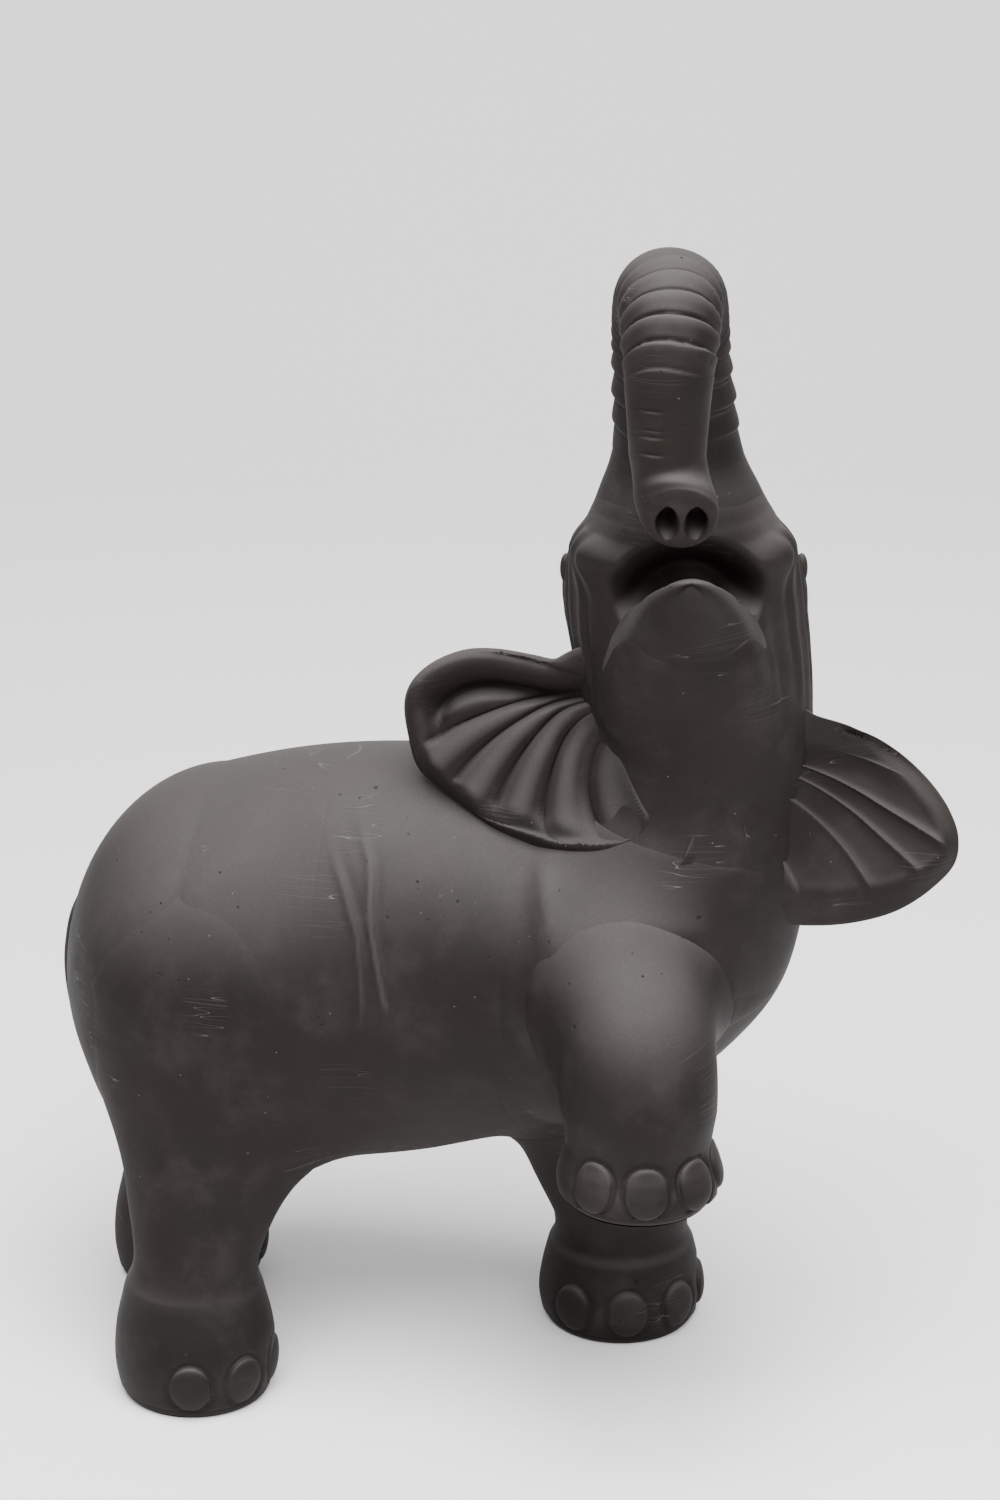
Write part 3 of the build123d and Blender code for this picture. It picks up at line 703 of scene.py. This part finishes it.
def leg_piece(name, rings, foot, sole, first_angle, neighbours):
    """A leg with its slip joint and the grooves pressed round its nails: -1.3 exp(-((r - 1.13) / 0.10)^2)."""
    grid = luted(skin_of(rings, 208), [(other, leg_slip) for other in neighbours])
    share = nail_shares(grid, foot, sole, first_angle)
    low = ease(grid[..., 2] - sole, 3.0, 7.0)
    raised = -1.3 * np.exp(-(((share - 1.13) / 0.10) ** 2)) * low
    moved, relief = shaped(grid, raised)
    moved[..., 2] = np.where(grid[..., 2] <= sole + 0.01, grid[..., 2], np.maximum(moved[..., 2], sole))
    clay_piece(name, [moved], [relief])


leg_piece("right_hind_leg", right_hind, right_hind_foot, 0.0, hind_turn, (body,))
leg_piece("left_hind_leg", left_hind, left_hind_foot, 0.0, hind_turn, (body,))
leg_piece("left_foreleg", left_fore, left_fore_foot, 0.0, fore_turn, (body,))
leg_piece("right_foreleg", right_fore, raised_foot, raised_sole, fore_turn, (body, head))


def nails_piece(name, rings, sole, first_angle):
    """Four domed oval pads on a foot: they stand 2 sqrt(1 - r^3) - 0.3 off it, and turn in below the rim."""
    share = np.linspace(0.04, 1.0, 16)
    rise = np.concatenate([2.0 * np.sqrt(1 - share ** 3) - 0.3, [-1.6, -3.0, -3.5]])
    share = np.concatenate([share, [1.03, 1.0, 0.8]])
    angle = once_round(40)
    height = sole + nail_centre + nail_high * share[:, None] * np.sin(angle)
    across = nail_wide * share[:, None] * np.cos(angle)
    x, y, level = rings["centre"][5:60].T
    radius = np.interp(height, level, rings["wide"][5:60])
    out = radius + rise[:, None]
    grids = []
    for place in nail_places(first_angle):
        turn = place + across / radius
        ring_x, ring_y = np.interp(height, level, x), np.interp(height, level, y)
        grids.append(np.stack([ring_x + out * np.cos(turn), ring_y + out * np.sin(turn), height], -1)[::-1])
    clay_piece(name, grids, [pad_relief] * len(grids), pad_relief)


nails_piece("right_hind_nails", right_hind, 0.0, hind_turn)
nails_piece("left_hind_nails", left_hind, 0.0, hind_turn)
nails_piece("left_fore_nails", left_fore, 0.0, fore_turn)
nails_piece("right_fore_nails", right_fore, raised_sole, fore_turn)

# --- Head and neck ---
# One hollow piece, thrown back so that the throat faces forwards. Skin folds
# are drawn down both sides from the brow, and short tusk sheaths bulge beside
# the root of the trunk. A round hole goes into the neck beside the right ear.
trunk_slip, jaw_slip = 24.0, 18.0


def swell(points, place, reach, height):
    """A soft bulge: height * exp(-d^2), with d the distance from a place in shares of the reach."""
    off = (points - np.array(place, float)) / np.array(reach, float)
    return height * np.exp(-(off ** 2).sum(-1))


head_swells = (
    ((42, -124, 440), (11, 14, 15), 6.0), ((126, -124, 443), (11, 14, 15), 6.0),
    ((86, -150, 384), (32, 24, 30), 6.0), ((88, -34, 415), (42, 26, 36), 5.0),
    ((86, -60, 448), (30, 22, 16), 4.0),
    ((36, -66, 436), (14, 16, 12), -3.0), ((138, -66, 436), (14, 16, 12), -3.0),
)


def head_raised(points):
    """Curtain folds down both sides, and the tusk sheaths, throat, nape, crown and temples.

    The folds are a cosine of the way back, sharpened by a power, on a line that sweeps back at the brow.
    """
    x, y, z = points[..., 0], points[..., 1], points[..., 2]
    right = ease(50 - x, 0, 12) * (1 - ease(y, -84, -62))
    left = ease(x - 118, 0, 12) * (1 - ease(y, -80, -58))
    sweep = 14 * np.exp(-(((z - 452) / 26) ** 2)) - 0.16 * (z - 400)
    height = ease(z, 350, 392) * (1 - ease(z, 447, 456))
    curtain = np.cos(2 * math.pi * (y - sweep + 0.004 * (z - 400) ** 2) / 10.5)
    sharp = np.sign(curtain) * np.abs(curtain) ** 0.8 - 0.15
    folds = 0.8 * sharp * height * (right + left) * (0.75 + 0.35 * np.sin(0.37 * y + 0.05 * z))
    return folds, sum(swell(points, place, reach, height) for place, reach, height in head_swells)


def opened_mouth(points):
    """The mouth pressed into the face: a dished oval, deepest in the middle, with a rounded edge."""
    share = np.sqrt(((points[..., 0] - 86) / 37) ** 2 + ((points[..., 2] - 428) / 27) ** 2)
    front = 1 - ease(points[..., 1], -124, -104)
    dish = 1 - ease(share, 0.25, 1.05)
    moved = points.copy()
    moved[..., 1] += 36 * dish * front
    return moved, dish * front


jaw_root, jaw_tip = np.array([87.0, -112.0, 386.0]), np.array([85.0, -190.0, 438.0])
jaw_along = (jaw_tip - jaw_root) / np.linalg.norm(jaw_tip - jaw_root)
jaw_over = np.cross(jaw_along, (1, 0, 0))

# Half width, thickness below the rim, and the rim's rise: the rim is a parabola seen from above.
jaw_share = 1 - (1 - np.linspace(0, 0.995, 110)) ** 2
jaw_half = 36.0 * np.sqrt(1 - jaw_share)
jaw_thick = 8.0 * np.sqrt(1 - jaw_share ** 3) + 26.0 * (1 - jaw_share)
jaw_rise = -8.0 + 17.0 * ease(jaw_share, 0.0, 0.75)
jaw_line = jaw_root + jaw_share[:, None] * (jaw_tip - jaw_root)
jaw_middle = jaw_line + (jaw_rise - 0.45 * jaw_thick)[:, None] * jaw_over
jaw = tube(jaw_middle, jaw_along, (1, 0, 0), 2 * jaw_half, 1.1 * jaw_thick)


def head_piece():
    """The head's skin with its slip joints, the mouth pressed in, and the round hole in the neck 9 deep."""
    joints = ((body, leg_slip), (right_fore, leg_slip), (trunk, trunk_slip), (jaw, jaw_slip))
    grid = luted(skin_of(head, 320), joints)
    folds, shapes = head_raised(grid)
    hole = np.hypot(grid[..., 0] - 54, grid[..., 2] - 298)
    hole = np.where(grid[..., 1] < -90, hole, far_off)
    moved, relief = shaped(grid, folds, shapes)
    moved, dish = opened_mouth(moved)
    pit = 1 - ease(hole, 1.8, 3.4)
    moved[..., 1] += 9 * pit
    # The mouth dish and the hole get low relief, so the clay is painted darker there as painted shade.
    relief = (relief - dish) * (1 - pit) - pit
    clay_piece("head_and_neck", [moved], [relief])


head_piece()


def jaw_piece():
    """A scoop with a parabolic rim: a rounded lip round the edge and a trough pressed inside it.

    Below the rim the section is half an ellipse; above, the lip is a sine bump near the edge and
    the trough falls away from it to the middle.
    """
    angle = once_round(200)
    c, s = np.cos(angle), np.sin(angle)
    inside = 1 - np.abs(c)
    part = np.sqrt(1 - jaw_share ** 3)[:, None]
    broad = 0.5 + 1.5 * ease(jaw_share, 0.4, 0.85)[:, None]
    lip = 5.0 * np.sin(math.pi * np.clip(inside / broad, 0, 1)) ** 0.7
    trough = 15.0 * ease(inside, 0.2, 0.75) * (1 - ease(jaw_share, 0.4, 0.8))[:, None]
    above = lip * part - trough
    level = jaw_rise[:, None] + np.where(s > 0, above, jaw_thick[:, None] * s)
    across = (jaw_half[:, None] * c)[..., None] * np.array([1.0, 0, 0])
    grid = luted(jaw_line[:, None] + across + level[..., None] * jaw_over, ((head, jaw_slip),))
    at_tip = ease(jaw_share, 0.8, 0.97)[:, None]
    rim = np.where(s > 0, np.maximum(np.exp(-((s / 0.28) ** 2)), at_tip), np.exp(-((s / 0.3) ** 2)))
    under = np.exp(-(((s + 0.62) / 0.24) ** 2)) * (s < 0)
    moved, _ = shaped(grid, (2.0 * rim - 1.6 * under) * ease(jaw_share, 0.35, 0.8)[:, None])
    # The rim's relief paints it lighter as highlight with wear; the groove below it and the trough get painted shade.
    relief = 0.7 * rim - 0.4 * under - np.where(s > 0, trough / 12, 0)
    clay_piece("lower_jaw", [moved], [relief])


jaw_piece()


def eyes_piece():
    """Two almond pads in the sides of the head under the brow folds: ovals of half sizes 3, 3.8 and 7.4."""
    turn = np.radians(np.linspace(4, 176, 14))[:, None]
    angle = once_round(28)
    y = -92 + 3.8 * np.sin(turn) * np.cos(angle)
    z = 424 - 7.4 * np.cos(turn) * np.ones(28)
    grids = [np.stack([x + 3.0 * np.sin(turn) * np.sin(-angle), y, z], -1) for x in (31.0, 141.0)]
    clay_piece("eyes", grids, [pad_relief] * len(grids), pad_relief)


eyes_piece()

# --- Trunk ---
# A solid roll, raised and curled over the mouth in three pieces: the riser,
# the arch and the hanging tip with its lip and two nostrils. Deep wrinkles
# ring the arch and fade to short cuts on the front of the fall.
outer_path = trunk["centre"] + trunk["deep"][:, None] * trunk["over"]
outer_length = length_along(outer_path)
trunk_angle = once_round(180)
wrinkle_pitch, wrinkle_height, cut_places = 13.0, 2.5, (180.5, 193.5, 202.5, 205.5, 213.5)


def trunk_raised():
    """Overlapping bands of skin: each stands up at its upper edge and slopes back to the next groove."""
    outer = np.sin(trunk_angle)
    sag = 5.0 * np.cos(trunk_angle) ** 2 - 1.2 * np.sin(3 * trunk_angle + outer_length[:, None] * 0.03)
    phase = ((outer_length[:, None] - sag) / wrinkle_pitch) % 1.0
    band = ease(phase, 0.0, 0.16) * (1.0 - 0.75 * ease(phase, 0.1, 1.0)) - 0.5
    groove = np.exp(-(((phase - 0.01) / 0.05) ** 2)) + np.exp(-(((phase - 1.0) / 0.07) ** 2))
    over_top = ease(trunk_length, 38, 70) * (1 - ease(trunk_length, 166, 186))
    around = 0.45 + 0.55 * ease(outer, -0.7, 0.4)
    return wrinkle_height * (band - 0.45 * groove) * over_top[:, None] * around


def trunk_piece(name, start, end):
    """One piece of the trunk between two lengths, its skin carried just past each seam and turned in.

    The riser is luted to the head and pressed in by the mouth. The tip swells by 9 in 100 before its end,
    and is closed by a low dome with two oval nostrils, 15 deep.
    """
    grid = skin_of(trunk, 180)
    raised = trunk_raised()
    if name == "trunk_riser":
        grid = luted(grid, ((head, trunk_slip),))
    if name == "trunk_tip":
        cuts = sum(np.exp(-((trunk_length - place) ** 2)) for place in cut_places)
        side = np.exp(-(((np.cos(trunk_angle) + 0.45) / 0.35) ** 2)) * (np.sin(trunk_angle) > 0)
        raised = raised - 1.1 * cuts[:, None] * side
    moved, relief = shaped(grid, raised)
    if name == "trunk_riser":
        moved, dish = opened_mouth(moved)
        # The mouth dish gets low relief: painted shade in the mouth.
        relief = relief - dish
    over = np.maximum(np.maximum(start - trunk_length, trunk_length - end), 0.0)
    keep = over < 5
    moved = moved - outward(moved) * (0.5 * over ** 2 / (over + 2) + np.maximum(over - 3, 0) * 2)[:, None, None]
    moved, relief = moved[keep], relief[keep]
    if name == "trunk_tip":
        left = np.maximum(trunk_length[-1] - trunk_length[keep], 0)
        swollen = 1 + 0.09 * np.exp(-(((left - 13) / 9) ** 2))
        rounding = np.sqrt(1 - (1 - np.minimum(left / 6, 1)) ** 2) * 0.3 + 0.7
        middle_line = moved.mean(1, keepdims=True)
        moved = middle_line + (moved - middle_line) * (swollen * rounding)[:, None, None]
        face, last = np.linspace(0.97, 0.02, 40), moved[-1]
        centre, along = last.mean(0), trunk["along"][-1]
        rows = centre + (last - centre) * face[:, None, None]
        x = (rows - centre) @ trunk["side"][-1]
        y = (rows - centre) @ trunk["over"][-1]
        holes = ease(1 - np.hypot((np.abs(x) - 6.8) / 5.9, y / 9.2), -0.05, 0.55)
        rows = rows + (1.8 * (1 - face ** 2)[:, None] - 15 * holes)[..., None] * along
        moved = np.concatenate([moved, rows])
        # The nostrils get low relief: painted shade in them.
        relief = np.concatenate([relief, 0.2 - 1.2 * holes])
    clay_piece(name, [moved], [relief])


# The riser ends where the trunk starts to turn.
riser_top = float(np.interp(0.5, trunk_turn[:140] * 1000, trunk_length[:140]))
arch_end = float(trunk_length[298])
trunk_piece("trunk_riser", -10.0, riser_top)
trunk_piece("trunk_arch", riser_top, arch_end)
trunk_piece("trunk_tip", arch_end, 1000.0)

# --- Ears ---
# Slabs pressed over a former and luted to the neck: a dished fan with a thick
# rolled brow, five or six arched ribs that end in round lobes, and a heavy
# rounded rim. The right ear stands out level, the left one droops.
def ear_piece(name, apex, outwards, turn, lean, outline, marks, bend, ridge, roll, drop, thick, slip):
    """A fan in its own plane: rays from the apex out to an outline given by angle and length.

    The marks are the angles of the grooves or ridges at the rim; between them a count runs evenly,
    and the front is raised by ridge(count). A brow rolls over the top edge, with a groove behind it,
    and below, the front falls away to the rim over a band. A half round joins front and back. Near the
    neck both faces flare through a quarter circle of the slip's reach, and slide in towards it.
    """
    yaw, tip_back, rays, upright = math.radians(turn), math.radians(lean), 300, np.array([0, 0, 1.0])
    out = np.array([outwards * math.cos(yaw), math.sin(yaw), 0.0])
    front = np.array([outwards * math.sin(yaw), -math.cos(yaw), 0.0])
    up = upright * math.cos(tip_back) + front * math.sin(tip_back)
    front = front * math.cos(tip_back) - upright * math.sin(tip_back)
    line = run_through(outline, rays)
    angle, length = line[:, 0], line[:, 1]
    edge_x, edge_y = length * np.cos(np.radians(angle)), length * np.sin(np.radians(angle))
    rim = np.radians(np.linspace(8, 172, 28))
    inner = np.linspace(0.02, 0.94, 130)
    u = np.concatenate([inner, 0.94 + 0.06 * np.sin(rim), inner[::-1]]) * np.ones((rays, 1))
    side = np.concatenate([0 * inner, (1 - np.cos(rim)) / 2, 0 * inner + 1])[None, :]
    x, y = u * edge_x[:, None], u * edge_y[:, None]
    away, brow = np.empty(x.shape), np.empty(x.shape)
    for start in range(0, rays, 20):
        some = slice(start, start + 20)
        d = np.hypot(x[some, :, None] - edge_x, y[some, :, None] - edge_y)
        away[some], brow[some] = d.min(2), angle[d.argmin(2)]
    browed = ease(brow, -24, -2)
    band = 13 + 9 * (1 - ease(brow, -80, -30))
    bent = angle[:, None] + bend(u, angle[:, None])
    count = np.interp(bent, marks, np.arange(len(marks))[::-1])
    ends = ease(count, 0.0, 0.3) * (1 - ease(count, len(marks) - 1.3, len(marks) - 1.0))
    fade = ease(u * length[:, None], 8, 30) * ease(away, band * 0.55, band * 1.1)
    ribbed = ridge(count) * (0.25 + 0.75 * ends) * fade * (1 - browed * (1 - ease(away, 15, 22)))
    rolled = roll * browed * (np.exp(-(((away - 5) / 6.5) ** 2)) - 1.05 * np.exp(-(((away - 17) / 4.8) ** 2)))
    dish = 7.0 * (u ** 2 - 0.35)
    fall = drop * (1 - browed) * (1 - ease(away, 0, band)) ** 1.3
    height = dish + rolled + ribbed - fall
    back = dish + 0.5 * roll * browed * np.exp(-(((away - 6) / 9) ** 2)) - thick - 0.75 * fall
    level = height * (1 - side) + back * side
    grid = np.array(apex, float) + x[..., None] * out + y[..., None] * up + level[..., None] * front
    # The relief paints shade into the grooves, behind the brow's roll and on the band where the front falls away, and
    # highlight with wear onto ribs and roll.
    relief = (np.clip(ribbed / 2.6, -1, 1) + np.clip(rolled / roll, -1, 0.3) - 0.35 * fall / drop) * (side < 0.5)
    if outwards > 0:
        grid, relief = grid[::-1], relief[::-1]
    grid, relief = grid[:, ::-1], relief[:, ::-1]
    gap = rounded(*(gap_to(rings, grid.reshape(-1, 3))[0] for rings in (head, body)), 12.0)
    gap = softened(gap.reshape(x.shape), 3)
    flare = slip - np.sqrt(np.maximum(slip ** 2 - np.clip(slip - gap, 0, slip) ** 2, 0))
    edge = away[::-1, ::-1] if outwards > 0 else away[:, ::-1]
    flare = flare * (0.35 + 0.4 * ease(edge, 0, 12))
    facing = (1 - 2 * side)[:, ::-1] * np.ones((rays, 1))
    grid = grid + (flare * facing)[..., None] * front - (1.2 * flare)[..., None] * out
    grid = grid + outward(grid) * lumps(grid)[..., None]
    clay_piece(name, [grid], [relief])


def round_ribs(count):
    """Broad round ribs between narrow grooves: 4.6 (|sin|^0.75 - 0.6)."""
    return 4.6 * (np.abs(np.sin(math.pi * count)) ** 0.75 - 0.6)


def sharp_ribs(count):
    """Thin sharp ribs between broad hollows: 3.6 (exp(-3.2 |sin|^0.9) - 0.3)."""
    return 3.6 * (np.exp(-3.2 * np.abs(np.sin(math.pi * count)) ** 0.9) - 0.3)


ear_piece(
    "right_ear", (50, -106, 372), -1, 14, -15,
    ((60, 22), (32, 24), (19, 28), (15, 40), (12, 56), (8, 70), (0, 87), (-8, 97), (-18, 102), (-28, 104),
     (-38, 99), (-50, 96), (-62, 92), (-74, 91), (-86, 90), (-98, 86), (-112, 78)),
    (-112, -92, -72, -54, -38, -23, -3),
    lambda u, angle: -30 * (1 - u) ** 1.3 * ease(-angle, -5, 40), round_ribs, 9.0, 12.0, 11.0, 14.0,
)
ear_piece(
    "left_ear", (134, -102, 352), 1, 10, -14,
    ((60, 16), (30, 16), (5, 20), (-8, 34), (-14, 49), (-20, 66), (-26, 83), (-31, 96), (-36, 106), (-42, 112),
     (-50, 112), (-60, 110), (-70, 106), (-80, 102), (-90, 98), (-102, 92), (-116, 84)),
    (-112, -84, -64, -50, -40, -27, -8),
    lambda u, angle: 18 * (1 - u) ** 2 * ease(-angle, 20, 45), sharp_ribs, 3.0, 9.0, 10.0, 30.0,
)

# --- Tail ---
# A thin roll laid against the back of the thigh, ending in a small tuft.
tail_slip = 8.0
tail_places = (
    (8, 232, 15), (3, 224, 15.5), (0, 213, 15), (-2, 198, 14), (-1, 180, 13), (3, 161, 13), (8, 146, 15.5),
    (14, 134, 18), (19, 124, 16), (23, 116, 9), (24, 113, 0.5),
)


def tail_piece():
    """A tapering tube down the rump, swollen at the tuft, where nine strands are combed in by a cosine."""
    back, height, size = run_through(tail_places, 120)[::-1].T
    centre = np.column_stack([-208 + back, np.full(120, -28.0), height])
    rings = tube(centre, (0, 0, 1), (1, 0, 0), size, size)
    grid = luted(skin_of(rings, 64), ((body, tail_slip),))
    comb = 0.5 * np.cos(once_round(64) * 9)
    moved, relief = shaped(grid, comb * ease(150 - height, 0, 14)[:, None])
    clay_piece("tail", [moved], [relief])


tail_piece()

# --- Floor, light and camera ---
# A pale floor that runs up into a pale wall, one broad soft light overhead,
# a weaker one from the front and a camera a little above the figure.
def sweep_piece():
    """Floor and backdrop as one sheet: flat, a quarter round, then upright."""
    turn = np.radians(np.linspace(0, 90, 16))
    y = np.concatenate([[-6.0, 1.6], 1.6 + 1.2 * np.sin(turn), [2.8]])
    z = np.concatenate([[0.0, 0.0], 1.2 * (1 - np.cos(turn)), [5.0]])
    grid = np.stack(np.broadcast_arrays(np.array([-6.0, 6.0]), y[:, None], z[:, None]), -1)
    index = np.arange(len(y) * 2).reshape(-1, 2)
    faces = np.stack([index[:-1, 0], index[:-1, 1], index[1:, 1], index[1:, 0]], -1)
    mesh = bpy.data.meshes.new("backdrop")
    mesh.from_pydata(grid.reshape(-1, 3).tolist(), [], faces.tolist())
    mesh.polygons.foreach_set("use_smooth", np.ones(len(mesh.polygons), bool))
    paper = bpy.data.materials.new("backdrop_paper")
    paper.use_nodes = True
    skin = paper.node_tree.nodes["Principled BSDF"]
    skin.inputs["Base Color"].default_value = (0.86, 0.86, 0.86, 1)
    skin.inputs["Roughness"].default_value = 0.9
    mesh.materials.append(paper)
    put("backdrop", mesh)


sweep_piece()


def soft_light(name, place, size, power):
    """A white square area light turned to the middle of the figure."""
    light = bpy.data.lights.new(name, "AREA")
    light.shape = "SQUARE"
    light.size = size
    light.energy = power
    lamp = put(name, light)
    way = np.array([0, 0, 0.3]) - np.array(place)
    lamp.location = place
    lamp.rotation_euler = (math.acos(-way[2] / np.linalg.norm(way)), 0, math.atan2(way[1], way[0]) - math.pi / 2)


soft_light("overhead", (0.0, -0.8, 2.2), 1.8, 160.0)
soft_light("front", (0.7, -2.5, 1.5), 1.6, 30.0)

world = bpy.data.worlds.new("studio")
world.use_nodes = True
sky = world.node_tree.nodes["Background"].inputs
sky["Color"].default_value, sky["Strength"].default_value = (1, 1, 1, 1), 0.8
bpy.context.scene.world = world

lens = bpy.data.cameras.new("camera")
lens.lens = 96.0
lens.sensor_width = 36.0
lens.clip_end = 50.0
camera = put("camera", lens)
look_down, camera_away = math.radians(20.0), 2.0
target = (np.array([0.0, 0.0, 300.0]) - middle) / 1000
away = camera_away * np.array([0.0, -math.cos(look_down), math.sin(look_down)])
camera.location = target + away
camera.rotation_euler = (math.pi / 2 - look_down, 0, 0)
bpy.context.scene.camera = camera
